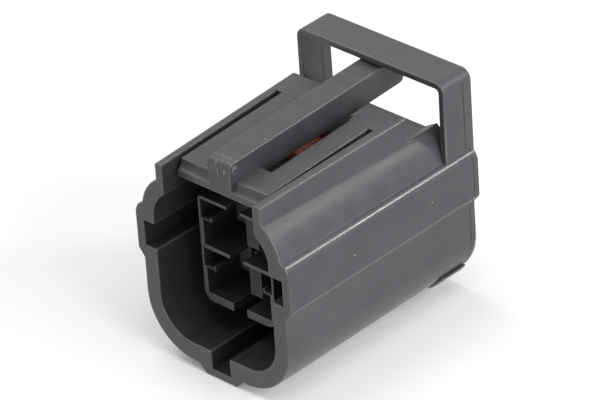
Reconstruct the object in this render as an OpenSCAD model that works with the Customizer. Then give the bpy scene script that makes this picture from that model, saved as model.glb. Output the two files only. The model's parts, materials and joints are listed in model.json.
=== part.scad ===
// Sealed four-way plug housing with a see-saw latch under a guard loop.
// X runs across the plug, Y from the mating mouth to the wire side, Z up.

/* [Shroud] */
// length from the mating lip to the wire side
body_l = 30; // [27:0.5:36]
// width across the plain side walls
body_w = 20.6; // [20:0.1:26]
// height of the rounded shroud, without foot and rails
body_h = 22.3; // [21.5:0.1:28]
// thickness of the shroud side walls
wall = 1.95; // [1.6:0.05:2.4]
// thickness of the shroud under the mating space
floor_wall = 2.25; // [1.8:0.05:2.5]
// thickness of the shroud over the mating space
roof_wall = 1.7; // [1.3:0.05:1.9]
// radius of the two lower outer corners
low_r = 6.6; // [4:0.2:7]
// radius of the two upper shoulders
top_r = 5.6; // [4:0.2:7]
// how much narrower the shoulders are than the walls below them
shoulder_in = 0.25; // [0:0.05:0.5]
// corner radius of the mating space
in_r = 4.3; // [3.5:0.1:5]

/* [Key bands] */
// how far each side band stands out of the wall
band_out = 0.8; // [0.5:0.05:1.2]
// height of the flat face of a side band
band_h = 4; // [3.4:0.1:5]
// height of the key groove behind a side band
key_h = 3.1; // [2.4:0.1:3.4]
// depth of the key groove into the side wall
key_d = 1.65; // [1:0.05:1.9]
// width of the flat foot under the shroud
foot_w = 4.6; // [3.6:0.2:6]
// how far the foot stands below the shroud
foot_out = 0.95; // [0.6:0.05:1.2]
// width of the key groove above the foot
foot_key_w = 2.7; // [1.6:0.1:3]
// length of the thickened patch on each lower rear corner
patch_l = 4; // [3:0.2:8]
// how far that patch stands out of the wall
patch_out = 0.25; // [0.1:0.05:0.5]

/* [Rails and deck] */
// distance between the rails at the mouth
rail_gap = 13; // [12:0.2:15]
// how much wider the rails stand at the rear
rail_flare = 1.2; // [0:0.1:2]
// thickness of a rail
rail_t = 1.05; // [0.8:0.05:1.4]
// height of the rails above the shoulders at the mouth
rail_h = 1.15; // [0.8:0.05:2]
// how much higher the rails stand at the rear
rail_rise = 0.5; // [0:0.05:1]
// length of the rails
rail_l = 22.2; // [20:0.2:24]
// length of the deck pads that carry the latch
pad_l = 3.9; // [3:0.1:5]
// depth of the trough under the arm between the pads
trough_d = 0.9; // [0.5:0.1:1.4]

/* [Guard loop] */
// width over the legs of the loop
loop_w = 21.2; // [20:0.2:24]
// height of the loop above the shoulders
loop_h = 4.85; // [4.6:0.05:7]
// depth of the loop strap along the plug
loop_d = 4.5; // [3:0.1:5.6]
// thickness of the loop strap
loop_t = 0.75; // [0.6:0.05:1.1]

/* [Latch] */
// width of the latch arm
arm_w = 3.2; // [2.6:0.1:3.6]
// width of the open window on each side of the arm
window_w = 1.9; // [1.4:0.1:2.2]
// gap between latch and rails at the mouth
slit = 0.25; // [0.2:0.05:0.8]
// thickness of the latch strips
strip_t = 1.5; // [1:0.1:1.8]
// gap between the latch and the deck pads
root_gap = 0.15; // [0.1:0.05:0.3]
// length of the cross beam along the plug
beam_l = 4.3; // [3.2:0.1:5]
// length of the scoop along the front edge of the beam
scoop_l = 0.75; // [0.5:0.05:1.5]
// depth of that scoop
scoop_h = 1.1; // [0.5:0.05:1.4]
// gap between the arm and the loop above it
arm_gap = 0.2; // [0.15:0.05:0.5]
// height of the arm where it passes the deck pads
arm_h = 3.4; // [2.8:0.1:3.6]
// radius of the rounded nose of the arm
nose_r = 0.8; // [0.5:0.05:1.2]
// gap between the press tab and the plane of the rear end
tab_in = 0.8; // [0.5:0.1:2]

/* [Tower] */
// sideways distance between the two terminal columns
pitch_x = 6; // [5.6:0.1:6.6]
// distance between the two terminal rows
pitch_z = 6.06; // [5.8:0.02:6.6]
// how far the tower face sits inside the mouth
tower_in = 3.6; // [2.5:0.1:6]
// width of a terminal chamber
cell_w = 3.2; // [3:0.1:3.3]
// height of a terminal chamber
cell_h = 5.6; // [5.2:0.1:5.7]
// width of the slot down the middle of the tower
slot_w = 1.95; // [1.7:0.05:2.1]
// thickness of the tower side walls
tower_t = 0.6; // [0.5:0.05:1]
// thickness of the tower floor
floor_t = 1; // [0.6:0.1:1.3]
// thickness of the tower roof
roof_t = 0.4; // [0.35:0.05:0.8]
// width of a locking finger
finger_w = 1.65; // [1:0.05:1.9]
// how far a locking finger hangs below its chamber roof
finger_h = 4.05; // [3.4:0.05:4.4]
// depth of the open front that the two chambers of a row share
front_l = 3.2; // [1.4:0.1:3.3]

/* [Wire side] */
// depth of the tray around the wire entries
tray_d = 1.5; // [1:0.1:2]
// rim left around the tray
tray_rim = 1.3; // [1:0.1:1.6]
// thickness of the rear roof over the tower
rear_skin = 1.3; // [1:0.1:1.8]
// length of the lower step at the rear end of the roof
step_l = 2.9; // [2:0.1:4]

/* [Retainer] */
// thickness of the retainer plate
plate_t = 1.5; // [1:0.05:1.5]
// length of the retainer plate
plate_l = 8.5; // [6:0.5:9]

/* [Seals] */
// thickness of the ring seal around the tower
ring_t = 1.15; // [0.9:0.05:1.3]
// height of a sealing rib
rib_h = 0.3; // [0.2:0.05:0.4]
// length of the ring seal
ring_l = 5.8; // [5:0.2:7.8]
// bore that takes one wire seal
seal_bore = 5.2; // [4.6:0.1:5.3]
// length of a wire seal
seal_l = 6.1; // [5.4:0.1:6.6]
// wire hole through a wire seal
wire_d = 2.1; // [1.4:0.1:2.4]

/* [Terminals] */
// width of the receptacle box
box_w = 2.6; // [2.3:0.1:2.7]
// height of the receptacle box
box_h = 2.3; // [2:0.1:2.4]
// sheet thickness of the terminal
sheet = 0.25; // [0.2:0.05:0.3]
// length of the receptacle box
box_l = 6; // [5:0.2:6.2]
// length of the conductor crimp
crimp_l = 2.8; // [2:0.1:3]

/* [Hidden] */
e = 0.01;
hw = body_w/2;
// heights below are measured from the middle partition of the tower
top_z = 9.85;
bot_z = top_z - body_h;
foot_z = bot_z - foot_out;
mid_z = -foot_z;
rail_z = top_z + rail_h;
rear_rail_z = rail_z + rail_rise;
loop_z = top_z + loop_h;
loop_y = body_l - loop_d;
pad_y = rail_l - pad_l;
// mating space
in_w = hw - wall;
in_bot = bot_z + floor_wall;
in_top = top_z - roof_wall;
bay_z = in_top - 1.4;
// wire side, from the rear end forwards
block_y = body_l - tray_d;
seal_y = block_y - seal_l - 0.4;
bore_y = seal_y - 0.3;
seat_y = bore_y - 1.2;
step_y = body_l - step_l;
// tower
cell_x = pitch_x/2;
cell_z = pitch_z/2;
tow_w = cell_x + cell_w/2 + tower_t;
tow_top = cell_z + cell_h/2 + roof_t;
tow_bot = -cell_z - cell_h/2 - floor_t;
ledge_z = 2.3;
ring_y = seat_y - ring_l;
rear_top = tow_top + rear_skin;
hump_w = hw - 2;
// latch
pivot_z = rail_z - 0.2;
beam_z = pivot_z - 1.95;
strip_in = arm_w/2 + window_w;
arm_top = loop_z - loop_t - arm_gap;
beam_y = 1.95;
nose_z = arm_top - 0.75 - nose_r;
tab_y = body_l - tab_in;
// terminals
box_y = tower_in + 5.3;
box_z = 0.55;
box_end = box_y + box_l;
crimp_r = 1.1;
neck_r = 1.7;
crimp_y = (box_end + seal_y - crimp_l)/2;

function arc(cx, cy, r, a0, a1, n = 8) =
    [for (i = [0:n]) let (a = a0 + (a1 - a0)*i/n) [cx + r*cos(a), cy + r*sin(a)]];
function mirrored(pts) = concat(pts, [for (i = [len(pts)-1:-1:0]) [-pts[i][0], pts[i][1]]]);
function deck_z(y) = rail_z + rail_rise*y/rail_l;
function cell(i) = [(i % 2 == 1 ? -1 : 1)*cell_x, 0, (i <= 2 ? 1 : -1)*cell_z];

// sweeps a flat outline from y0 to y1
module along(y0, y1) {
    translate([0, y1, 0]) rotate([90, 0, 0]) linear_extrude(y1 - y0) children();
}

// sweeps a side outline (drawn as y, z) across the plug from x0 to x1
module across(x0, x1) {
    translate([x0, 0, 0]) rotate([90, 0, 90]) linear_extrude(x1 - x0) children();
}

module block(x0, x1, y0, y1, z0, z1) {
    translate([x0, y0, z0]) cube([x1 - x0, y1 - y0, z1 - z0]);
}

// rounded tub outline: bottom radius rb, top radius rt
module tub(w, zb, zt, rb, rt, n = 10) {
    polygon(mirrored(concat(
        arc(w - rb, zb + rb, rb, -90, 0, n),
        arc(w - rt, zt - rt, rt, 0, 90, n))));
}

// outer outline with side bands and foot
module outer() {
    b = hw + band_out;
    f = foot_w/2;
    shoulder = hw - shoulder_in - top_r;
    polygon(mirrored(concat(
        [[f, foot_z], [min(f + foot_out, hw - low_r - e), bot_z]],
        arc(hw - low_r, bot_z + low_r, low_r, -90, 0, 12),
        [[hw, -1.75], [b, -0.75], [b, band_h - 0.1], [b - band_out/2, band_h + 0.8],
         [hw - 0.1, band_h + 1.05]],
        arc(shoulder, top_z - top_r, top_r, 10, 90, 10))));
}

// mating space with its three key grooves
module mouth() {
    tub(in_w, in_bot, in_top, in_r, in_r);
    for (s = [-1, 1])
        polygon([[s*(in_w - 1), -0.15], [s*(in_w + key_d), -0.15],
                 [s*(in_w + key_d), key_h - 0.15], [s*(in_w - 1), key_h - 0.15]]);
    polygon([[-foot_key_w/2, in_bot + 1], [-foot_key_w/2, bot_z - 0.05],
             [foot_key_w/2, bot_z - 0.05], [foot_key_w/2, in_bot + 1]]);
}

// block whose half of the deck spreads and climbs rearwards with the rails: x0, x1 at the mouth
module deck_block(x0, x1, y0, y1, low, drop = 0) {
    spread = rail_flare/2/rail_l;
    intersection() {
        translate([0, 0, low - 1]) linear_extrude(rear_rail_z - low + 2)
            polygon([[x0 + (x0 > 0 ? 1 : -1)*spread*y0, y0], [x1 + (x1 > 0 ? 1 : -1)*spread*y0, y0],
                     [x1 + (x1 > 0 ? 1 : -1)*spread*y1, y1], [x0 + (x0 > 0 ? 1 : -1)*spread*y1, y1]]);
        across(-hw, hw)
            polygon([[y0, low], [y1, low], [y1, deck_z(y1) - drop], [y0, deck_z(y0) - drop]]);
    }
}

module loop_outline() {
    w = loop_w/2;
    i = w - loop_t;
    polygon(concat(
        [[w, 3.6]], arc(w - 1.2, loop_z - 1.2, 1.2, 0, 90, 6),
        arc(1.2 - w, loop_z - 1.2, 1.2, 90, 180, 6), [[-w, 3.6], [-i, 3.6]],
        arc(0.45 - i, loop_z - loop_t - 0.45, 0.45, 180, 90, 4),
        arc(i - 0.45, loop_z - loop_t - 0.45, 0.45, 90, 0, 4), [[i, 3.6]]));
}

// thickened patch on each lower rear corner
module corner_patches() {
    rear = body_l - 0.9;
    difference() {
        along(rear - patch_l, rear)
            tub(hw + patch_out, bot_z - patch_out, 0, low_r, 2);
        block(-hw - 2, hw + 2, 0, body_l + 1, bot_z + 2.6, 2);
        block(-hw + 3.2, hw - 3.2, 0, body_l + 1, bot_z - 2, 2);
    }
}

module tower() {
    difference() {
        union() {
            along(tower_in, seat_y + e)
                tub(tow_w, tow_bot, tow_top, 1.3, 0.5, 5);
            // guide ribs on the tower flanks
            for (s = [-1, 1])
                block(s > 0 ? tow_w - e : -tow_w - 0.5, s > 0 ? tow_w + 0.5 : -tow_w + e,
                      tower_in + 2.4, ring_y - 0.4, -0.3, 0.3);
        }
        // middle slot through roof, partition and floor
        block(-slot_w/2, slot_w/2, tower_in - 1, tower_in + 13.5, tow_bot - 1, tow_top + 1);
        for (r = [-1, 1]) {
            z = r*cell_z;
            // open front of the chamber pair
            block(-cell_x - cell_w/2, cell_x + cell_w/2, tower_in - 1, tower_in + front_l,
                  z - cell_h/2, z + cell_h/2);
            // thinner upper part of the side walls
            block(-cell_x - cell_w/2 - 0.3, cell_x + cell_w/2 + 0.3, tower_in - 1,
                  tower_in + 3.2, z + cell_h/2 - ledge_z, z + cell_h/2);
            for (s = [-1, 1])
                block(s*cell_x - cell_w/2, s*cell_x + cell_w/2, tower_in - 1, bore_y + e,
                      z - cell_h/2, z + cell_h/2);
        }
    }
    for (r = [-1, 1]) for (s = [-1, 1]) {
        top = r*cell_z + cell_h/2;
        inner = cell_x - cell_w/2;
        outer = cell_x + cell_w/2;
        y = tower_in + (s > 0 ? 0.4 : front_l + 0.3);
        // locking finger hanging beside the slot, set further back on the left
        across(s > 0 ? inner : -inner - finger_w, s > 0 ? inner + finger_w : -inner)
            polygon([[y, top + e], [y, top - finger_h + 0.5], [y + 0.3, top - finger_h + 0.1],
                     [y + 0.6, top - finger_h], [y + 1.2, top - finger_h],
                     [y + 2.1, top - ledge_z], [tower_in + 9, top - 1.3], [tower_in + 9, top + e]]);
        // ledge with a small upturned tip on the side wall
        across(s > 0 ? outer - 1.2 : -outer - e, s > 0 ? outer + e : -outer + 1.2)
            polygon([[tower_in + 0.15, top - ledge_z - 0.35], [tower_in + 0.15, top - ledge_z],
                     [tower_in + 3.2, top - ledge_z], [tower_in + 3.2, top - ledge_z - 0.35]]);
        block(s*(outer - 1.05) - 0.15, s*(outer - 1.05) + 0.15,
              tower_in + 0.15, tower_in + 3.2, top - ledge_z - 0.1, top - ledge_z + 0.3);
    }
}

module housing_shape() {
    rg = rail_gap/2;
    difference() {
        union() {
            along(0, body_l) outer();
            for (s = [-1, 1]) {
                // rails
                deck_block(s*rg, s*(rg + rail_t), 0, rail_l, 7);
                // deck pads
                deck_block(s*(strip_in - rail_flare/2 - 0.2), s*(rg + 0.2), pad_y, rail_l, 7);
            }
            corner_patches();
        }
        along(-1, seat_y) mouth();
        // opening for the latch between the rails
        deck_block(-rg, rg, -1, pad_y, bay_z, -1);
        // trough under the latch arm between the pads
        block(-strip_in + 0.2, strip_in - 0.2, pad_y - 1, rail_l + e, top_z - trough_d,
              rear_rail_z + 1);
        // lowered roof behind the deck
        along(rail_l, body_l + 1)
            polygon(mirrored([[hump_w - 2, rear_top], [hump_w, rear_top + 1.25], [hump_w, loop_z]]));
        // rear roof step between the loop legs
        block(-loop_w/2 + loop_t, loop_w/2 - loop_t, step_y, body_l + 1, rear_top - 1.4,
              rear_top + 8);
        // shallow tray around the wire entries
        along(block_y, body_l + 1)
            tub(hw - tray_rim, bot_z + tray_rim, rear_top + 4, low_r - tray_rim, 2);
        for (i = [1:4]) {
            translate(cell(i) + [0, bore_y, 0]) rotate([-90, 0, 0])
                cylinder(d = seal_bore, h = body_l, $fn = 40);
            // passage from the tower into the wire bore
            translate(cell(i)) block(-cell_w/2, cell_w/2, seat_y - 1, bore_y + 1,
                                     -cell_h/2 + 0.4, cell_h/2 - 0.4);
        }
    }
    // guard loop
    along(loop_y, loop_y + loop_d) loop_outline();
    tower();
}

module housing() {
    color([0.16, 0.17, 0.18]) place() housing_shape();
}

module latch_shape() {
    root_y = pad_y - root_gap;
    half = rail_gap/2 - slit;
    under = deck_z(root_y) - strip_t;
    // cross beam with a scooped upper front, running on into the two side strips
    difference() {
        across(-half, half)
            polygon(concat(
                [[beam_y + 0.15, beam_z], [beam_y, beam_z + 0.15]],
                [for (a = [0:20:80]) [beam_y + scoop_l*sin(a), pivot_z - scoop_h*cos(a)]],
                [[beam_y + scoop_l, pivot_z], [root_y, deck_z(root_y)], [root_y, under],
                 [beam_y + beam_l, under - 0.35], [beam_y + 2, beam_z]]));
        block(-strip_in, strip_in, beam_y + beam_l, root_y + 1, 0, loop_z);
    }
    // arm rising from the beam to the press tab under the loop
    across(-arm_w/2, arm_w/2)
        polygon(concat([[beam_y, pivot_z - 1.1]],
                 arc(beam_y + nose_r, nose_z, nose_r, 180, 95, 6),
                 [[beam_y + 3, arm_top - 0.7], [pad_y + 5, arm_top - 0.05], [tab_y - 2.2, arm_top],
                  [tab_y - 0.3, arm_top - 0.05], [tab_y, arm_top - 0.35],
                  [tab_y, arm_top - arm_h + 1]],
                 arc(tab_y - 0.8, arm_top - arm_h + 0.9, 0.8, 0, -80, 5),
                 [[tab_y - 2.2, arm_top - arm_h + 0.05], [pad_y, arm_top - arm_h],
                  [pad_y - 5.8, arm_top - arm_h - 0.25], [beam_y + beam_l + e, pivot_z - 1.1],
                  [beam_y + beam_l - 1, pivot_z - 1.1]]));
}

module latch() {
    color([0.2, 0.21, 0.22]) place() latch_shape();
}

module retainer_shape() {
    y0 = tower_in + 3.4;
    zt = cell_z + cell_h/2 - 0.5;
    difference() {
        along(y0, y0 + plate_l) tub(plate_t/2, -zt - 0.6, zt, 0.3, 0.3, 3);
        // weight-saving windows between the two rows
        block(-plate_t, plate_t, y0 + 2.5, y0 + plate_l - 2, 1, zt - 1.6);
        block(-plate_t, plate_t, y0 + 2.5, y0 + plate_l - 2, -zt + 1, -1);
        // grip notch at the front edge
        block(-plate_t, plate_t, y0 - 1, y0 + 0.8, -0.9, 0.9);
    }
}

module retainer() {
    color([0.75, 0.75, 0.72]) place() retainer_shape();
}

module interface_seal() {
    color([0.6, 0.12, 0.1]) place() difference() {
        union() {
            along(ring_y, seat_y) tub(tow_w + ring_t, tow_bot - ring_t, tow_top + ring_t, 2.3, 1.6, 6);
            for (k = [0:2]) {
                y = ring_y + 1 + k*(ring_l - 3)/2;
                along(y, y + 1) tub(tow_w + ring_t + rib_h*0.6, tow_bot - ring_t - rib_h*0.6,
                                    tow_top + ring_t + rib_h*0.6, 2.5, 1.8, 6);
                along(y + 0.25, y + 0.75) tub(tow_w + ring_t + rib_h, tow_bot - ring_t - rib_h,
                                              tow_top + ring_t + rib_h, 2.6, 1.9, 6);
            }
        }
        along(ring_y - 1, seat_y + 1) tub(tow_w, tow_bot, tow_top, 1.3, 0.5, 5);
    }
}

// one stamped female terminal, axis along Y through its own chamber
module terminal(i) {
    c = cell(i);
    low = c[2] - cell_h/2 + box_z;
    under = c[2] - crimp_r;
    color([0.78, 0.72, 0.55]) place() translate([c[0], 0, 0]) {
        difference() {
            block(-box_w/2, box_w/2, box_y, box_y + box_l, low, low + box_h);
            block(-box_w/2 + sheet, box_w/2 - sheet, box_y - 1, box_y + box_l + 1,
                  low + sheet, low + box_h - sheet);
            // lance window in the roof of the box
            block(-0.6, 0.6, box_y + 3, box_y + 4.6, low + box_h - 0.6, low + box_h + 1);
        }
        // contact tongue bent up inside the box
        across(-box_w/2 + sheet + 0.2, box_w/2 - sheet - 0.2)
            polygon([[box_y + 0.5, low + sheet - e], [box_y + 0.9, low + sheet - e],
                     [box_y + 0.45*box_l, low + sheet + 0.65], [box_y + 0.8*box_l, low + sheet + 0.25],
                     [box_y + 0.8*box_l, low + sheet + 0.45], [box_y + 0.45*box_l, low + sheet + 0.85],
                     [box_y + 0.7, low + sheet + 0.2]]);
        // floor strip rising to the crimps
        across(-0.8, 0.8)
            polygon([[box_end - 1, low], [box_end, low], [crimp_y, under - sheet],
                     [seal_y - 0.9, under - sheet], [seal_y - 0.3, c[2] - neck_r - sheet],
                     [seal_y + 0.3, c[2] - neck_r - sheet - 0.04], [seal_y + 0.3, c[2] - neck_r - 0.06],
                     [seal_y - 0.2, c[2] - neck_r], [seal_y - 0.8, under],
                     [crimp_y, under], [box_end, low + sheet], [box_end - 1, low + sheet]]);
        // conductor crimp
        translate([0, crimp_y, c[2]]) rotate([-90, 0, 0]) difference() {
            cylinder(r = crimp_r + sheet, h = crimp_l, $fn = 24);
            translate([0, 0, -1]) cylinder(r = crimp_r, h = crimp_l + 2, $fn = 24);
            translate([-crimp_r - 1, -crimp_r - 2, -1]) cube([2*crimp_r + 2, 2.5, crimp_l + 2]);
        }
        // seal crimp around the neck of the wire seal
        translate([0, seal_y + 0.2, c[2]]) rotate([-90, 0, 0]) difference() {
            cylinder(r = neck_r + 0.05 + sheet, h = 1.5, $fn = 28);
            translate([0, 0, -1]) cylinder(r = neck_r + 0.05, h = 4, $fn = 28);
            translate([-0.5, -neck_r - 1, -1]) cube([1, neck_r + 1, 4]);
        }
    }
}

// ribbed silicone plug with a wire hole
module wire_seal(i) {
    r = seal_bore/2;
    color([0.62, 0.16, 0.12]) place() translate(cell(i) + [0, seal_y, 0]) rotate([-90, 0, 0])
        rotate_extrude($fn = 40)
            polygon([[wire_d/2, 0], [neck_r, 0], [neck_r, 2], [r - 0.45, 2.2], [r - 0.1, 2.5], [r - 0.1, 2.9],
                     [r - 0.45, 3.2], [r - 0.45, 3.6], [r - 0.1, 3.9], [r - 0.1, 4.3],
                     [r - 0.45, 4.6], [r - 0.45, 5], [r - 0.1, 5.3], [r - 0.1, seal_l - 0.2],
                     [r - 0.3, seal_l], [wire_d/2 + 0.3, seal_l], [wire_d/2, seal_l - 0.3]]);
}

// puts the plug with its foot on the ground and its middle over the origin
module place() {
    translate([0, -body_l/2, mid_z]) children();
}

housing();
latch();
retainer();
interface_seal();
terminal(1);  // terminal_1
terminal(2);  // terminal_2
terminal(3);  // terminal_3
terminal(4);  // terminal_4
wire_seal(1);  // wire_seal_1
wire_seal(2);  // wire_seal_2
wire_seal(3);  // wire_seal_3
wire_seal(4);  // wire_seal_4
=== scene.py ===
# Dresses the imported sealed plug: soft moulded edges, plastic, silicone and tin, camera and studio.
import json
import math
import bpy
import bmesh
import numpy as np
from mathutils import Matrix, Vector


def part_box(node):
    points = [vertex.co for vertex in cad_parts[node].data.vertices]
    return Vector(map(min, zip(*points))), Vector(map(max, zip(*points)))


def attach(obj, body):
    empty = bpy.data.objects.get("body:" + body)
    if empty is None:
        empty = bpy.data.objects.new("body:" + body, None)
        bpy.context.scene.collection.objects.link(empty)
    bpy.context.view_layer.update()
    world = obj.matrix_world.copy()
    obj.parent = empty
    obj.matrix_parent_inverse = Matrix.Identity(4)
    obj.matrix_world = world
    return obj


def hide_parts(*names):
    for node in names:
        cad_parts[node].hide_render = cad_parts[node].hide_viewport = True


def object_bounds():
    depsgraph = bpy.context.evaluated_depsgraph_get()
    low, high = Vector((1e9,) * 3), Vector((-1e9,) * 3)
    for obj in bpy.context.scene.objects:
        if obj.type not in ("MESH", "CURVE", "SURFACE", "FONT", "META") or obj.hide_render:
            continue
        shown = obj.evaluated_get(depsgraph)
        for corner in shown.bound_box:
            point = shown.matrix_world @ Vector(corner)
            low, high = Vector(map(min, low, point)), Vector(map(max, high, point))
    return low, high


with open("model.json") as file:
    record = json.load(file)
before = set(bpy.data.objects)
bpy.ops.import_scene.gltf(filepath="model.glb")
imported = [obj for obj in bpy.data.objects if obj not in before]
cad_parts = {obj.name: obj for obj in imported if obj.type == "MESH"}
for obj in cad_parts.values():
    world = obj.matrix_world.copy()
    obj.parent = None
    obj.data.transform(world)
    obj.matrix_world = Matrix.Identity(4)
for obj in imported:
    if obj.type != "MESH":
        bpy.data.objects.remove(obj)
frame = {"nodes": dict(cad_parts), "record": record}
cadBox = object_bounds()
mm = 0.001
far = 1.0  # metres: beyond the part on every side
print("frame loaded:", len(frame["nodes"]), "nodes")

lowCorner = Vector(cadBox[0])
highCorner = Vector(cadBox[1])
middle = (lowCorner + highCorner) / 2
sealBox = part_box("interface_seal")
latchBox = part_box("latch")


cameraSettings = {
    "azimuth": 44.86,  # degrees round from straight ahead
    "elevation": 31.62,
    "roll": -4.0,
    "distance": 0.5358,
    "lens": 300,
    "clip": (0.01, 20),  # nearest and furthest distance that is drawn
    "aimOffset": (-2.333 * mm, 1.043 * mm, -0.217 * mm),  # from the middle of the part
}


def makeCamera(s):
    a, e, r = (math.radians(s[k]) for k in ("azimuth", "elevation", "roll"))
    back = Vector((math.sin(a) * math.cos(e), -math.cos(a) * math.cos(e), math.sin(e)))
    right = (-back).cross(Vector((0, 0, 1))).normalized()
    up = right.cross(-back)
    turnedRight = math.cos(r) * right + math.sin(r) * up
    turnedUp = -math.sin(r) * right + math.cos(r) * up
    data = bpy.data.cameras.new("camera")
    data.lens = s["lens"]
    data.clip_start, data.clip_end = s["clip"]
    cam = bpy.data.objects.new("camera", data)
    bpy.context.scene.collection.objects.link(cam)
    place = middle + Vector(s["aimOffset"]) + back * s["distance"]
    turn = Matrix((turnedRight, turnedUp, back)).transposed().to_4x4()
    cam.matrix_world = Matrix.Translation(place) @ turn
    bpy.context.scene.camera = cam


makeCamera(cameraSettings)


def newMaterial(name):
    mat = bpy.data.materials.new(name)
    mat.use_nodes = True
    mat.node_tree.nodes.clear()
    return mat, mat.node_tree.nodes, mat.node_tree.links


def newSurface(name):
    # a material that holds one Principled shader, round which the finish is built
    mat, nodes, links = newMaterial(name)
    shader = nodes.new("ShaderNodeBsdfPrincipled")
    links.new(shader.outputs[0], nodes.new("ShaderNodeOutputMaterial").inputs["Surface"])
    return mat, nodes, links, shader


def newGroup(name, inputs, outputs):
    group = bpy.data.node_groups.new(name, "ShaderNodeTree")
    for label, kind, value in inputs:
        socket = group.interface.new_socket(name=label, in_out="INPUT", socket_type=kind)
        socket.default_value = value
    for label, kind in outputs:
        group.interface.new_socket(name=label, in_out="OUTPUT", socket_type=kind)
    nodes, links = group.nodes, group.links
    return group, nodes, links, nodes.new("NodeGroupInput"), nodes.new("NodeGroupOutput")


def mathNode(nodes, links, operation, first, second, clamp=False):
    node = nodes.new("ShaderNodeMath")
    node.operation = operation
    node.use_clamp = clamp
    for socket, value in zip(node.inputs, (first, second)):
        if isinstance(value, (int, float)):
            socket.default_value = value
        else:
            links.new(value, socket)
    return node.outputs[0]


def rangeNode(nodes, links, value, low, high, toLow=0.0, toHigh=1.0):
    node = nodes.new("ShaderNodeMapRange")
    node.clamp = True
    node.inputs["From Min"].default_value = low
    node.inputs["From Max"].default_value = high
    node.inputs["To Min"].default_value = toLow
    node.inputs["To Max"].default_value = toHigh
    links.new(value, node.inputs["Value"])
    return node.outputs[0]


def spreadNoise(nodes, links, noise, toLow=0.0, toHigh=1.0):
    # noise keeps mostly between 0.3 and 0.7, so that middle is spread over toLow to toHigh
    return rangeNode(nodes, links, noise, 0.3, 0.7, toLow, toHigh)


def noiseNode(nodes, links, place, scale, detail, roughness):
    node = nodes.new("ShaderNodeTexNoise")
    node.inputs["Detail"].default_value = detail
    node.inputs["Roughness"].default_value = roughness
    if isinstance(scale, (int, float)):
        node.inputs["Scale"].default_value = scale
    else:
        links.new(scale, node.inputs["Scale"])
    links.new(place, node.inputs["Vector"])
    return node.outputs["Fac"]


def mixColour(nodes, links, factor, first, second):
    node = nodes.new("ShaderNodeMix")
    node.data_type = "RGBA"
    for number, value in ((0, factor), (6, first), (7, second)):  # the colour mix uses these sockets
        if isinstance(value, tuple):
            node.inputs[number].default_value = value
        else:
            links.new(value, node.inputs[number])
    return node.outputs[2]


def objectPlace(nodes):
    return nodes.new("ShaderNodeTexCoord").outputs["Object"]


def drawnOutPlace(nodes, links, scale):
    # object coordinates times scale: a pattern on them is drawn out along the axes with small values
    node = nodes.new("ShaderNodeMapping")
    node.inputs["Scale"].default_value = scale
    links.new(objectPlace(nodes), node.inputs["Vector"])
    return node.outputs[0]


def tinted(colour, factors):
    # red, green and blue, each times its factor
    return (*(c * f for c, f in zip(colour, factors)), 1)


def cloudyColour(nodes, links, grain, s):
    # the colour, darker in some clouds and lighter in others
    tone = spreadNoise(nodes, links, grain.outputs["Tone"])
    darker, lighter = tinted(s["colour"], s["darker"]), tinted(s["colour"], s["lighter"])
    return mixColour(nodes, links, tone, darker, lighter)


def addBump(nodes, links, shader, height, strength, depth):
    bump = nodes.new("ShaderNodeBump")
    bump.inputs["Strength"].default_value = strength
    bump.inputs["Distance"].default_value = depth
    links.new(height, bump.inputs["Height"])
    links.new(bump.outputs[0], shader.inputs["Normal"])


grainSettings = {
    "coarseScale": 0.3,  # scale of the coarse noise, as a share of the fine noise's
    "fineRoughness": 0.6,
    "coarseRoughness": 0.5,
}


def makeGrainGroup(s):
    # grain height = coarse noise + fine noise; tone = slow cloudy noise around 0.5
    group, nodes, links, gIn, gOut = newGroup(
        "mouldGrain",
        [("Grain Scale", "NodeSocketFloat", 9000.0), ("Cloud Scale", "NodeSocketFloat", 180.0)],
        [("Height", "NodeSocketFloat"), ("Tone", "NodeSocketFloat")])
    place = objectPlace(nodes)
    fine = noiseNode(nodes, links, place, gIn.outputs["Grain Scale"],
                     detail=2.0, roughness=s["fineRoughness"])
    coarseScale = mathNode(nodes, links, "MULTIPLY", gIn.outputs["Grain Scale"], s["coarseScale"])
    coarse = noiseNode(nodes, links, place, coarseScale, detail=2.0, roughness=s["coarseRoughness"])
    clouds = noiseNode(nodes, links, place, gIn.outputs["Cloud Scale"], detail=4.0, roughness=0.6)
    links.new(mathNode(nodes, links, "ADD", fine, coarse), gOut.inputs["Height"])
    links.new(clouds, gOut.inputs["Tone"])
    return group


edgeRubSettings = {
    "samples": 6,
    "lean": (0.995, 0.86),  # cosine between the normals where rubbing starts, and where it is full
    "breakup": (0.8, 1.15),  # noise plus cover where the rubbing starts, and where it is full
}


def makeEdgeGroup(s):
    # worn edge = how far a rounded normal leans from the true one, broken up by noise
    group, nodes, links, gIn, gOut = newGroup(
        "edgeRub",
        [("Width", "NodeSocketFloat", 0.00015), ("Breakup Scale", "NodeSocketFloat", 1500.0),
         ("Cover", "NodeSocketFloat", 0.5)],
        [("Mask", "NodeSocketFloat")])
    rounded = nodes.new("ShaderNodeBevel")
    rounded.samples = s["samples"]
    links.new(gIn.outputs["Width"], rounded.inputs["Radius"])
    lean = nodes.new("ShaderNodeVectorMath")
    lean.operation = "DOT_PRODUCT"
    links.new(rounded.outputs[0], lean.inputs[0])
    links.new(nodes.new("ShaderNodeNewGeometry").outputs["Normal"], lean.inputs[1])
    edge = rangeNode(nodes, links, lean.outputs["Value"], *s["lean"])
    clouds = noiseNode(nodes, links, objectPlace(nodes), gIn.outputs["Breakup Scale"],
                       detail=4.0, roughness=0.65)
    covered = mathNode(nodes, links, "ADD", clouds, gIn.outputs["Cover"])
    kept = rangeNode(nodes, links, covered, *s["breakup"])
    links.new(mathNode(nodes, links, "MULTIPLY", edge, kept), gOut.inputs["Mask"])
    return group


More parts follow.
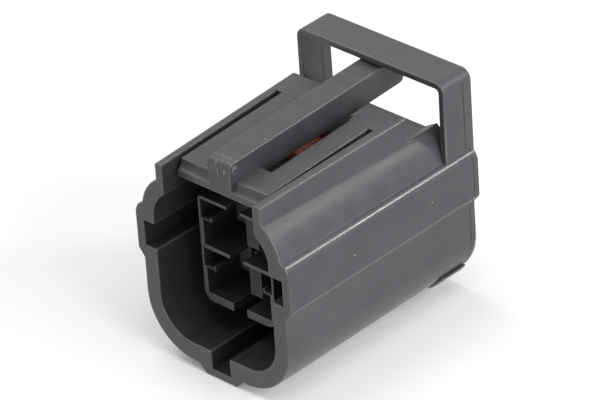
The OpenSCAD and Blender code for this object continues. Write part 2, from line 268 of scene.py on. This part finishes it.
dustSettings = {
    "upward": (-0.1, 0.9),  # height of the normal where the film starts, and where it is full
    "cloud": (0.42, 0.75),  # noise where the film starts, and where it is full
    "speckRarity": 0.985,  # share of the cells that hold no speck
}


def makeDustGroup(s):
    # dust = upward facing share times noise, plus sparse round specks from a cell pattern
    group, nodes, links, gIn, gOut = newGroup(
        "lightDust",
        [("Film Scale", "NodeSocketFloat", 700.0), ("Speck Scale", "NodeSocketFloat", 900.0),
         ("Speck Size", "NodeSocketFloat", 0.07)],
        [("Film", "NodeSocketFloat"), ("Specks", "NodeSocketFloat")])
    coord = nodes.new("ShaderNodeTexCoord")
    split = nodes.new("ShaderNodeSeparateXYZ")
    links.new(coord.outputs["Normal"], split.inputs[0])
    upward = rangeNode(nodes, links, split.outputs["Z"], *s["upward"])
    clouds = noiseNode(nodes, links, coord.outputs["Object"], gIn.outputs["Film Scale"],
                       detail=6.0, roughness=0.7)
    film = rangeNode(nodes, links, clouds, *s["cloud"])
    links.new(mathNode(nodes, links, "MULTIPLY", upward, film), gOut.inputs["Film"])
    cells = nodes.new("ShaderNodeTexVoronoi")
    links.new(coord.outputs["Object"], cells.inputs["Vector"])
    links.new(gIn.outputs["Speck Scale"], cells.inputs["Scale"])
    near = mathNode(nodes, links, "LESS_THAN", cells.outputs["Distance"], gIn.outputs["Speck Size"])
    pick = nodes.new("ShaderNodeSeparateColor")
    links.new(cells.outputs["Color"], pick.inputs[0])
    rare = mathNode(nodes, links, "GREATER_THAN", pick.outputs[0], s["speckRarity"])
    links.new(mathNode(nodes, links, "MULTIPLY", near, rare), gOut.inputs["Specks"])
    return group


shared = {
    "grain": makeGrainGroup(grainSettings),
    "edge": makeEdgeGroup(edgeRubSettings),
    "dust": makeDustGroup(dustSettings),
}


def placeGroup(nodes, name, **values):
    node = nodes.new("ShaderNodeGroup")
    node.node_tree = shared[name]
    for label, value in values.items():
        node.inputs[label.replace("_", " ")].default_value = value
    return node


def boxMask(nodes, links, low, high, soft):
    # 1 inside the box low..high in the piece's own metres, falling to 0 over the distance soft
    split = nodes.new("ShaderNodeSeparateXYZ")
    links.new(objectPlace(nodes), split.inputs[0])
    result = None
    for axis, first, last in zip("XYZ", low, high):
        rise = rangeNode(nodes, links, split.outputs[axis], first, first + soft)
        fall = rangeNode(nodes, links, split.outputs[axis], last - soft, last, 1.0, 0.0)
        both = mathNode(nodes, links, "MULTIPLY", rise, fall)
        result = both if result is None else mathNode(nodes, links, "MULTIPLY", result, both)
    return result


partingSettings = {
    "lines": [  # each line's y, and the z it runs from and to
        (highCorner.y - 0.95 * mm, 0.0, 19.0 * mm),
        (highCorner.y - 1.5 * mm, 19.0 * mm, 27 * mm),
    ],
    "width": 0.12 * mm,
    "soft": 0.02 * mm,
    # the lines' dark colour, and the dark metal reflection that replaces their shine, are painted shade in
    # the fine step
    "colour": (0.012, 0.013, 0.014, 1),
    "cover": 0.7,
    "depth": 2.0,  # times the height of the grain
    "shadeDulling": 0.6,  # how far the shine is taken out of the step
}


def addShadedPartingLines(nodes, links, shader, colour, height, s):
    # the mould's parting lines round the body and up the loop's legs: fine steps, darkened by painted shade
    # in their colour and reflection
    dull = None
    for y, low, high in s["lines"]:
        line = boxMask(nodes, links, (-far, y, low), (far, y + s["width"], high), s["soft"])
        cover = mathNode(nodes, links, "MULTIPLY", line, s["cover"])
        colour = mixColour(nodes, links, cover, colour, s["colour"])
        step = mathNode(nodes, links, "MULTIPLY", line, s["depth"])
        height = mathNode(nodes, links, "SUBTRACT", height, step)
        metal = mathNode(nodes, links, "MULTIPLY", line, s["shadeDulling"])
        dull = metal if dull is None else mathNode(nodes, links, "MAXIMUM", dull, metal)
    links.new(dull, shader.inputs["Metallic"])
    return colour, height


scuffSettings = {
    "low": (-2 * mm, latchBox[0][1] - 1 * mm, latchBox[1][2] - 2.8 * mm),
    "high": (2 * mm, latchBox[0][1] + 1.6 * mm, latchBox[1][2]),
    "soft": 0.4 * mm,
    "drawnOut": (1.0, 0.3, 0.3),
    "scale": 3600.0,
    "threshold": (0.56, 0.64),  # noise where a mark starts, and where it is full
    "colour": (0.3, 0.3, 0.31, 1),
    "cover": 0.5,
    "rougher": 0.15,
}


def addScuffs(nodes, links, colour, rough, s):
    # pale rub marks where a finger presses the nose of the arm
    nose = boxMask(nodes, links, s["low"], s["high"], s["soft"])
    place = drawnOutPlace(nodes, links, s["drawnOut"])
    strokes = noiseNode(nodes, links, place, s["scale"], detail=3.0, roughness=0.6)
    marks = rangeNode(nodes, links, strokes, *s["threshold"])
    marks = mathNode(nodes, links, "MULTIPLY", marks, nose)
    cover = mathNode(nodes, links, "MULTIPLY", marks, s["cover"])
    colour = mixColour(nodes, links, cover, colour, s["colour"])
    rougher = mathNode(nodes, links, "MULTIPLY", marks, s["rougher"])
    return colour, mathNode(nodes, links, "ADD", rough, rougher, clamp=True)


mouldedSettings = {  # what all the moulded plastics share
    "ior": 1.52,
    "grainScale": 9000.0,
    "cloudScale": 170.0,
    "darker": (0.86, 0.86, 0.87),  # the colour times these in the darkest clouds
    "lighter": (1.14, 1.14, 1.13),  # and in the lightest ones
    "unevenness": 0.05,  # how far the roughness goes up and down
    "filmColour": (0.26, 0.27, 0.28, 1),
    "filmRough": 0.6,  # roughness that the dust film adds where it is full
    "speckColour": (0.5, 0.5, 0.49, 1),
    "bump": 1.0,
    "bumpDepth": 0.02 * mm,
}
plasticSettings = {
    "housing": {"name": "housingPlastic", "colour": (0.047, 0.050, 0.055, 1), "rough": 0.42,
                "film": 0.10, "grain": 0.25, "parting": partingSettings},
    # the housing's rounded edge strips: lighter and glossier than its faces, partly rubbed wear and partly
    # a painted highlight along the ridges
    "housingRubbedEdgeAndHighlight": {"name": "housingRubbedEdgeAndHighlightPlastic", "colour": (0.070, 0.073, 0.078, 1), "rough": 0.25,
                    "film": 0.04, "grain": 0.12},
    "latch": {"name": "latchPlastic", "colour": (0.040, 0.043, 0.047, 1), "rough": 0.40,
              "film": 0.10, "grain": 0.25, "scuffs": scuffSettings},
    # the latch's rounded edge strips: lighter and glossier than its faces, partly rubbed wear and partly a
    # painted highlight along the ridges
    "latchRubbedEdgeAndHighlight": {"name": "latchRubbedEdgeAndHighlightPlastic", "colour": (0.072, 0.075, 0.080, 1), "rough": 0.28,
                  "film": 0.04, "grain": 0.12},
    # darker than the housing, and duller: painted shade on the faces inside the shroud and on the rails'
    # inner sides
    "shadedInside": {"name": "shadedInsidePlastic", "colour": (0.024, 0.025, 0.027, 1), "rough": 0.55,
             "film": 0.03, "grain": 0.3, "ior": 1.36},
    "retainer": {"name": "retainerPlastic", "colour": (0.045, 0.047, 0.051, 1), "rough": 0.46,
                 "film": 0.06, "grain": 0.2},
}


def makePlastic(own):
    s = {**mouldedSettings, **own}
    mat, nodes, links, shader = newSurface(s["name"])
    shader.inputs["IOR"].default_value = s["ior"]
    grain = placeGroup(nodes, "grain", Grain_Scale=s["grainScale"], Cloud_Scale=s["cloudScale"])
    dust = placeGroup(nodes, "dust")
    colour = cloudyColour(nodes, links, grain, s)
    film = mathNode(nodes, links, "MULTIPLY", dust.outputs["Film"], s["film"])
    colour = mixColour(nodes, links, film, colour, s["filmColour"])
    rough = spreadNoise(nodes, links, grain.outputs["Tone"],
                        s["rough"] - s["unevenness"], s["rough"] + s["unevenness"])
    filmRough = mathNode(nodes, links, "MULTIPLY", film, s["filmRough"])
    rough = mathNode(nodes, links, "ADD", rough, filmRough, clamp=True)
    height = mathNode(nodes, links, "MULTIPLY", grain.outputs["Height"], s["grain"])
    if "parting" in s:
        colour, height = addShadedPartingLines(nodes, links, shader, colour, height, s["parting"])
    if "scuffs" in s:
        colour, rough = addScuffs(nodes, links, colour, rough, s["scuffs"])
    colour = mixColour(nodes, links, dust.outputs["Specks"], colour, s["speckColour"])
    links.new(colour, shader.inputs["Base Color"])
    links.new(rough, shader.inputs["Roughness"])
    addBump(nodes, links, shader, height, s["bump"], s["bumpDepth"])
    return mat


rubberSettings = {  # what both silicones share
    "ior": 1.43,
    "scatter": 0.15,
    "scatterReach": (0.6 * mm, 0.2 * mm, 0.1 * mm),
    "grainScale": 5000.0,
    "cloudScale": 400.0,
    "filmScale": 1200.0,
    "darker": (0.85, 0.8, 0.8),
    "lighter": (1.12, 1.2, 1.2),
    "unevenness": 0.08,
    "film": 0.2,
    "filmColour": (0.5, 0.4, 0.38, 1),
    "bump": 0.2,
    "bumpDepth": 0.02 * mm,
}
siliconeSettings = {
    "ring": {"name": "ringSilicone", "colour": (0.34, 0.055, 0.04, 1), "rough": 0.42},
    "wire": {"name": "wireSealSilicone", "colour": (0.42, 0.08, 0.05, 1), "rough": 0.45},
}


def makeSilicone(own):
    s = {**rubberSettings, **own}
    mat, nodes, links, shader = newSurface(s["name"])
    shader.inputs["IOR"].default_value = s["ior"]
    shader.inputs["Subsurface Weight"].default_value = s["scatter"]
    shader.inputs["Subsurface Radius"].default_value = s["scatterReach"]
    grain = placeGroup(nodes, "grain", Grain_Scale=s["grainScale"], Cloud_Scale=s["cloudScale"])
    dust = placeGroup(nodes, "dust", Film_Scale=s["filmScale"])
    colour = cloudyColour(nodes, links, grain, s)
    film = mathNode(nodes, links, "MULTIPLY", dust.outputs["Film"], s["film"])
    colour = mixColour(nodes, links, film, colour, s["filmColour"])
    links.new(colour, shader.inputs["Base Color"])
    rough = spreadNoise(nodes, links, grain.outputs["Tone"],
                        s["rough"] - s["unevenness"], s["rough"] + s["unevenness"])
    links.new(rough, shader.inputs["Roughness"])
    addBump(nodes, links, shader, grain.outputs["Height"], s["bump"], s["bumpDepth"])
    return mat


tinSettings = {
    "name": "tinPlate",
    "colour": (0.66, 0.63, 0.57, 1),
    "darker": (0.85, 0.85, 0.85),
    "lighter": (1.1, 1.1, 1.1),
    "brass": (0.62, 0.47, 0.22, 1),
    "rough": (0.22, 0.42),  # in the smoothest and in the most scratched lines
    "cutWidth": 0.08 * mm,
    "cutBreakup": 3000.0,
    "cutCover": 0.6,
    "grainScale": 7000.0,
    "cloudScale": 900.0,
    "drawnOut": (1.0, 0.04, 1.0),
    "lineScale": 16000.0,
    "bump": 0.15,
    "bumpDepth": 0.01 * mm,
}


def makeTin(s):
    # rolled sheet: fine scratches run along the strip, bare brass shows where edges were cut
    mat, nodes, links, shader = newSurface(s["name"])
    shader.inputs["Metallic"].default_value = 1.0
    rub = placeGroup(nodes, "edge", Width=s["cutWidth"], Breakup_Scale=s["cutBreakup"], Cover=s["cutCover"])
    grain = placeGroup(nodes, "grain", Grain_Scale=s["grainScale"], Cloud_Scale=s["cloudScale"])
    place = drawnOutPlace(nodes, links, s["drawnOut"])
    lines = noiseNode(nodes, links, place, s["lineScale"], detail=2.0, roughness=0.5)
    colour = cloudyColour(nodes, links, grain, s)
    colour = mixColour(nodes, links, rub.outputs["Mask"], colour, s["brass"])
    links.new(colour, shader.inputs["Base Color"])
    links.new(spreadNoise(nodes, links, lines, *s["rough"]), shader.inputs["Roughness"])
    addBump(nodes, links, shader, lines, s["bump"], s["bumpDepth"])
    return mat


materials = {
    **{key: makePlastic(own) for key, own in plasticSettings.items()},
    **{key: makeSilicone(own) for key, own in siliconeSettings.items()},
    "tin": makeTin(tinSettings),
}
print("materials:", len(materials))


mergeSettings = {
    "together": 0.002 * mm,  # corners this close are one
    "hairline": 0.004 * mm,  # faces thinner than this go
    "flatAngle": 2.5,  # faces that turn by less than this many degrees are joined
    "shortEdge": 0.09 * mm,  # anything shorter is closed up before edges are rounded
    "strips": 3,  # faces across a rounded edge of a merged piece
    "innerStrips": 2,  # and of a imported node
    "sharpTurn": 100,  # degrees, shared over the strips: edges that turn by more stay sharp
    "faceWeight": 60,  # above 50, large faces rule the shading
}


def mergedCopy(nodeName, pieceName, mend=None):
    # the node's loose triangles are merged and flat faces joined, so that edges can be rounded
    s = mergeSettings
    mesh = bpy.data.meshes.new(pieceName)
    bm = bmesh.new()
    bm.from_mesh(frame["nodes"][nodeName].data)
    if mend:
        mend(bm)
    bmesh.ops.remove_doubles(bm, verts=bm.verts, dist=s["together"])
    bmesh.ops.dissolve_degenerate(bm, dist=s["hairline"], edges=bm.edges)
    bmesh.ops.dissolve_limit(bm, angle_limit=math.radians(s["flatAngle"]), verts=bm.verts, edges=bm.edges)
    bmesh.ops.dissolve_degenerate(bm, dist=s["shortEdge"], edges=bm.edges)
    bm.to_mesh(mesh)
    bm.free()
    piece = bpy.data.objects.new(pieceName, mesh)
    bpy.context.scene.collection.objects.link(piece)
    return piece


def vectors(items, name):
    # one three-part value of every vertex or face, as rows
    values = np.empty(len(items) * 3)
    items.foreach_get(name, values)
    return values.reshape(-1, 3)


def edgeFacts(mesh):
    # for every edge: its middle, the angle between its two faces, and whether it stands outwards,
    # which it does where (first normal x second normal) points along the edge as the first face runs it
    loopEdge, loopVertex = np.empty((2, len(mesh.loops)), np.int32)
    mesh.loops.foreach_get("edge_index", loopEdge)
    mesh.loops.foreach_get("vertex_index", loopVertex)
    start, total = np.empty((2, len(mesh.polygons)), np.int32)
    mesh.polygons.foreach_get("loop_start", start)
    mesh.polygons.foreach_get("loop_total", total)
    co = vectors(mesh.vertices, "co")
    loopNormal = np.repeat(vectors(mesh.polygons, "normal"), total, axis=0)
    following = np.arange(len(loopEdge)) + 1
    following[start + total - 1] = start
    head, tail = co[loopVertex], co[loopVertex[following]]
    pairs = np.argsort(loopEdge, kind="stable").reshape(-1, 2)  # the two corners that use each edge
    first, second = loopNormal[pairs[:, 0]], loopNormal[pairs[:, 1]]
    angle = np.degrees(np.arccos(np.clip((first * second).sum(axis=1), -1, 1)))
    along = tail[pairs[:, 0]] - head[pairs[:, 0]]
    standsOut = (np.cross(first, second) * along).sum(axis=1) > 0
    middles = (tail + head)[pairs[:, 0]] / 2
    return middles, angle, standsOut


def evenNormals(piece):
    normals = piece.modifiers.new("evenNormals", "WEIGHTED_NORMAL")
    normals.weight = mergeSettings["faceWeight"]
    return normals


def softenEdges(piece, width, sharpness):
    # rounds each outward edge that turns by more than sharpness degrees, by width(its middle) in metres
    segments = mergeSettings["strips"]
    middles, angle, standsOut = edgeFacts(piece.data)
    wide = width(middles)
    weight = np.where((angle > sharpness) & standsOut, wide / wide.max(), 0.0).astype(np.float32)
    layer = piece.data.attributes.new("bevel_weight_edge", "FLOAT", "EDGE")
    layer.data.foreach_set("value", weight)
    bevel = piece.modifiers.new("softEdges", "BEVEL")
    bevel.limit_method = "WEIGHT"
    bevel.width = float(wide.max())
    bevel.segments = segments
    bevel.use_clamp_overlap = False
    # on the housing and the latch that last finish is lighter: partly a painted highlight along the rounded
    # edges, partly rubbed wear
    bevel.material = len(piece.data.materials) - 1  # the rounded strips take the last finish
    view = bpy.context.evaluated_depsgraph_get()
    rounded = bpy.data.meshes.new_from_object(piece.evaluated_get(view), depsgraph=view)
    piece.modifiers.clear()
    # rounding can push a corner a hair too far out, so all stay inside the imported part's box
    co = np.clip(vectors(rounded.vertices, "co"), np.array(lowCorner), np.array(highCorner))
    rounded.vertices.foreach_set("co", co.ravel())
    piece.data = rounded
    rounded.name = piece.name
    rounded.shade_smooth()
    rounded.set_sharp_from_angle(angle=math.radians(mergeSettings["sharpTurn"] / segments))
    evenNormals(piece).keep_sharp = True


def softenNode(nodeName, width, sharpness):
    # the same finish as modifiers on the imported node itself
    node = frame["nodes"][nodeName]
    weld = node.modifiers.new("merge", "WELD")
    weld.merge_threshold = mergeSettings["together"]
    flat = node.modifiers.new("joinFlats", "DECIMATE")
    flat.decimate_type = "DISSOLVE"
    flat.angle_limit = math.radians(mergeSettings["flatAngle"])
    bevel = node.modifiers.new("softEdges", "BEVEL")
    bevel.width = width
    bevel.segments = mergeSettings["innerStrips"]
    bevel.limit_method = "ANGLE"
    bevel.angle_limit = math.radians(sharpness)
    bevel.use_clamp_overlap = False
    evenNormals(node)
    return node


def wear(piece, *keys):
    # puts the finishes on a piece; the last one also goes on its rounded strips
    piece.data.materials.clear()
    for key in keys:
        piece.data.materials.append(materials[key])


def inZone(x, z, zone):
    # where |x| and z, in metres, lie within zone = (x from, x to, z from, z to)
    return (x > zone[0]) & (x < zone[1]) & (z > zone[2]) & (z < zone[3])


hinge = next(j for j in frame["record"]["behaviour"]["joints"] if j["name"] == "latch_tilt")
shellSettings = {
    "sharpness": 20,
    "outerRound": 0.2 * mm,  # rounding of the shroud and bands
    "railRound": 0.32 * mm,  # rounding along the outer top edge of each rail and band
    "railEdge": (7.3 * mm, 8.2 * mm, 24.2 * mm, far),
    "bandEdge": (10.6 * mm, far, 18.0 * mm, 18.5 * mm),
    "slimRound": 0.08 * mm,  # rounding of the guard loop's inner edges and of the latch opening
    "loopInside": (-far, 9.95 * mm, 19.0 * mm, 27.6 * mm),
    "loopFrom": latchBox[1][1] - 5 * mm,  # y where the guard loop starts
    "opening": (-far, 7.0 * mm, 19.6 * mm, 24.2 * mm),
    "openingSlope": (27.8 * mm, 16.4 * mm),  # |x| + z stays under the first, z above the second
    "towerRound": 0.06 * mm,  # rounding of the thin tower walls
    "towerMargin": (0.2 * mm, 0.5 * mm, -0.6 * mm),  # how far the tower passes its ring seal
    "bandRidge": (11.0 * mm, far, 17.1 * mm, 17.5 * mm),  # a blunt edge that isn't rounded
    "roots": (-far, 7.25 * mm, 23.9 * mm, far),  # nor are edges where the latch strips bend
    "rootsFrom": (hinge["pos_m"][1], 0.3 * mm),  # y of the bend, and how far that reaches
}


def shellWidth(mid):
    # width of rounding by place: thin walls and narrow ledges take a finer one than the outer skin
    s = shellSettings
    x, y, z = np.abs(mid[:, 0]), mid[:, 1], mid[:, 2]
    overX, overY, overZ = s["towerMargin"]
    inTower = inZone(x, z, (-far, sealBox[1][0] + overX, sealBox[0][2], sealBox[1][2] + overZ))
    inTower &= y < sealBox[1][1] + overY
    onRail = inZone(x, z, s["railEdge"]) & (y < s["loopFrom"])
    inLoop = inZone(x, z, s["loopInside"]) & (y > s["loopFrom"])
    slopeTop, slopeFrom = s["openingSlope"]
    inOpening = inZone(x, z, s["opening"]) | (x + z < slopeTop) & (z > slopeFrom)
    rootY, rootReach = s["rootsFrom"]
    atRoots = inZone(x, z, s["roots"]) & (np.abs(y - rootY) < rootReach)
    width = np.where(onRail | inZone(x, z, s["bandEdge"]), s["railRound"], s["outerRound"])
    width = np.where(inLoop | inOpening, s["slimRound"], width)
    width = np.where(inTower, s["towerRound"], width)
    return np.where(atRoots | inZone(x, z, s["bandRidge"]), 0.0, width)


mendSettings = {  # corners of the housing: |x|, z, and how far off each may be
    "legFoot": (9.85 * mm, 19.08 * mm, 0.01 * mm, 0.05 * mm),
    "grooveRim": (9.8 * mm, 19.38 * mm, 0.04 * mm, 0.03 * mm),
    "shoulderFoot": (9.965 * mm, 18.622 * mm, 0.02 * mm, 0.02 * mm),
    "ledge": (9.99 * mm, 18.5 * mm),  # |x| and z of the band's ledge
}


def cornersAt(bm, side, place):
    x, z, offX, offZ = place
    return [v for v in bm.verts if abs(v.co.x * side - x) < offX and abs(v.co.z - z) < offZ]


def mendShell(bm):
    s = mendSettings
    for side in (-1, 1):
        # each loop leg leaves a hair-thin groove at its foot: its lower inner corners move up to the rim,
        # which runs from front to rear at rim(y) = front + (rear - front) (y - yFront) / (yRear - yFront)
        rim = [v.co.copy() for v in cornersAt(bm, side, s["grooveRim"])]
        front, rear = min(rim, key=lambda c: c.y), max(rim, key=lambda c: c.y)
        for v in cornersAt(bm, side, s["legFoot"]):
            v.co = front.lerp(rear, (v.co.y - front.y) / (rear.y - front.y))
        # the foot of the shoulder comes down to the band's ledge, so no narrow face is left between them
        for v in cornersAt(bm, side, s["shoulderFoot"]):
            v.co.x, v.co.z = side * s["ledge"][0], s["ledge"][1]


# where the painted shade inside the shroud goes
shadedInsideSettings = {
    "room": (-far, 10.05 * mm, 1.2 * mm, 21.6 * mm),  # the inside of the shroud, before its corners
    "footGroove": (-far, 1.4 * mm, 0.5 * mm, 3.3 * mm),
    "shoulder": (4.45 * mm, 17.65 * mm, 5.3 * mm),  # |x| and z of the corner circle's middle, radius
    "lowerCorner": (3.7 * mm, 7.55 * mm, 6.3 * mm),
    "depth": (-14.99 * mm, 8 * mm),
    "towerFace": -11.3 * mm,  # faces that look out of the mouth count only behind this y
    "railSides": (5.5 * mm, 8.3 * mm, 19 * mm, 26 * mm),
    "railDepth": 9 * mm,
    "facing": 0.7,  # share of the normal from which a face looks along an axis
}


def paintShadeInside(piece, index, s):
    # faces inside the shroud came off the mould's core and are matt; their darker colour and weak
    # reflection are painted shade in the hollow.
    # These are the faces whose middle lies within the outer skin, with quarter circles at the shoulder and
    # at the lower corner, and the rails' inner sides
    mid, normal = vectors(piece.data.polygons, "center"), vectors(piece.data.polygons, "normal")
    x, y, z = np.abs(mid[:, 0]), mid[:, 1], mid[:, 2]
    inside = inZone(x, z, s["room"]) | inZone(x, z, s["footGroove"])
    for upwards, (middleX, middleZ, radius) in ((1, s["shoulder"]), (-1, s["lowerCorner"])):
        inCorner = (x > middleX) & ((z - middleZ) * upwards > 0)
        inside &= ~(inCorner & (np.hypot(x - middleX, z - middleZ) > radius))
    inside &= (y > s["depth"][0]) & (y < s["depth"][1])
    looksOut = normal[:, 1] < -s["facing"]
    inside &= ~looksOut | (y > s["towerFace"])
    looksIn = normal[:, 0] * np.sign(mid[:, 0]) < -s["facing"]
    inside |= looksIn & inZone(x, z, s["railSides"]) & (y < s["railDepth"])
    piece.data.polygons.foreach_set("material_index", np.where(inside, index, 0).astype(np.int32))


shell = mergedCopy("housing", "housingShell", mendShell)
wear(shell, "housing", "shadedInside", "housingRubbedEdgeAndHighlight")
paintShadeInside(shell, 1, shadedInsideSettings)
softenEdges(shell, shellWidth, shellSettings["sharpness"])
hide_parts("housing")
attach(shell, "plug")

leverSettings = {
    "round": 0.16 * mm,
    "underRound": 0.05 * mm,  # rounding under the beam, where the arm leaves it
    "underTop": 23.15 * mm,
    "underAt": (-8.75 * mm, 0.3 * mm),  # y of that corner, and how far its rounding reaches
    "sharpness": 20,
    "rootReach": 0.3 * mm,  # how far the strips run on into the deck pads
    "tabEnd": 1 * mm,  # length at the arm's rear end that its width is taken from
    "stripsOut": 0.5 * mm,  # the strips lie more than this outside the arm
    "endDepth": 0.05 * mm,  # corners this near to the strips' ends move
}


def leverWidth(mid):
    s = leverSettings
    cornerY, reach = s["underAt"]
    under = (mid[:, 2] < s["underTop"]) & (np.abs(mid[:, 1] - cornerY) < reach)
    return np.where(under, s["underRound"], s["round"])


def closeRoots(piece, s):
    # the two strips run on into the deck pads, as one moulding does: their end faces move back
    co = vectors(piece.data.vertices, "co")
    armHalf = np.abs(co[co[:, 1] > latchBox[1][1] - s["tabEnd"], 0]).max()
    strips = np.abs(co[:, 0]) > armHalf + s["stripsOut"]
    rootY = co[strips, 1].max()
    co[strips & (co[:, 1] > rootY - s["endDepth"]), 1] += s["rootReach"]
    piece.data.vertices.foreach_set("co", co.ravel())
    piece.data.update()


lever = mergedCopy("latch", "latchLever")
closeRoots(lever, leverSettings)
wear(lever, "latch", "latchRubbedEdgeAndHighlight")
softenEdges(lever, leverWidth, leverSettings["sharpness"])
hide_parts("latch")
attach(lever, "latch_body")

innerSettings = {  # by how the nodes' names start
    "retainer": {"round": 0.15 * mm, "sharpness": 25, "finish": "retainer"},
    "interface_seal": {"round": 0.06 * mm, "sharpness": 30, "finish": "ring"},
    "terminal_": {"round": 0.04 * mm, "sharpness": 25, "finish": "tin"},
    "wire_seal_": {"round": 0.07 * mm, "sharpness": 30, "finish": "wire"},
}
for start, s in innerSettings.items():
    for nodeName in sorted(name for name in frame["nodes"] if name.startswith(start)):
        wear(softenNode(nodeName, s["round"], s["sharpness"]), s["finish"])
print("moulded pieces softened")


studioSettings = {
    "floorSize": 3.0,
    "floorGap": 0.02 * mm,  # between the part's foot and the floor
    "floorColour": (0.88, 0.88, 0.88, 1),
    "floorLift": 0.14,  # light added for the camera alone, so that the pale floor reads white
    "worldStrength": 0.34,
    "lamps": [  # name, place from the part in metres, side length, watts
        ("keyLamp", (-0.35, -0.05, 0.78), 0.6, 2.9),
        ("topLamp", (0.3, -0.12, 0.8), 0.5, 1.7),
        ("rightLamp", (0.8, 0.0, 0.3), 0.6, 4.9),
        ("rimLamp", (0.58, 0.60, 0.54), 0.16, 2.0),
    ],
}


def makeFloor(s):
    half = s["floorSize"] / 2
    ground = lowCorner.z - s["floorGap"]
    corners = [(x * half, y * half, ground) for x, y in ((-1, -1), (1, -1), (1, 1), (-1, 1))]
    mesh = bpy.data.meshes.new("floor")
    mesh.from_pydata(corners, [], [(0, 1, 2, 3)])
    floor = bpy.data.objects.new("floor", mesh)
    bpy.context.scene.collection.objects.link(floor)
    mat, nodes, links = newMaterial("floorPaint")
    out = nodes.new("ShaderNodeOutputMaterial")
    paint = nodes.new("ShaderNodeBsdfDiffuse")
    paint.inputs["Color"].default_value = s["floorColour"]
    rays = nodes.new("ShaderNodeLightPath").outputs
    lift = nodes.new("ShaderNodeEmission")
    liftNow = mathNode(nodes, links, "MULTIPLY", rays["Is Camera Ray"], s["floorLift"])
    links.new(liftNow, lift.inputs["Strength"])
    lifted = nodes.new("ShaderNodeAddShader")
    links.new(paint.outputs[0], lifted.inputs[0])
    links.new(lift.outputs[0], lifted.inputs[1])
    # reflections show the floor as plain white
    white = nodes.new("ShaderNodeEmission")
    mirrored = mathNode(nodes, links, "MAXIMUM", rays["Is Glossy Ray"], rays["Is Transmission Ray"])
    swap = nodes.new("ShaderNodeMixShader")
    links.new(mirrored, swap.inputs[0])
    links.new(lifted.outputs[0], swap.inputs[1])
    links.new(white.outputs[0], swap.inputs[2])
    links.new(swap.outputs[0], out.inputs["Surface"])
    floor.data.materials.append(mat)


def makeWorld(s):
    # the surroundings light the part softly, but look white to the camera and in reflections
    world = bpy.data.worlds.new("studioWorld")
    bpy.context.scene.world = world
    world.use_nodes = True
    nodes, links = world.node_tree.nodes, world.node_tree.links
    rays = nodes.new("ShaderNodeLightPath").outputs
    seen = mathNode(nodes, links, "MAXIMUM", rays["Is Camera Ray"], rays["Is Glossy Ray"])
    seen = mathNode(nodes, links, "MAXIMUM", seen, rays["Is Transmission Ray"])
    sky = nodes["Background"].inputs
    links.new(rangeNode(nodes, links, seen, 0.0, 1.0, s["worldStrength"], 1.0), sky["Strength"])
    sky["Color"].default_value = (1, 1, 1, 1)


def makeLamps(s):
    for name, place, side, watts in s["lamps"]:
        data = bpy.data.lights.new(name, "AREA")
        data.size = side
        data.energy = watts
        lamp = bpy.data.objects.new(name, data)
        bpy.context.scene.collection.objects.link(lamp)
        lamp.location = middle + Vector(place)
        lamp.rotation_euler = (-Vector(place)).to_track_quat("-Z", "Y").to_euler()


makeFloor(studioSettings)
makeWorld(studioSettings)
makeLamps(studioSettings)
bpy.context.scene.view_settings.view_transform = "Standard"
print("camera and studio ready")
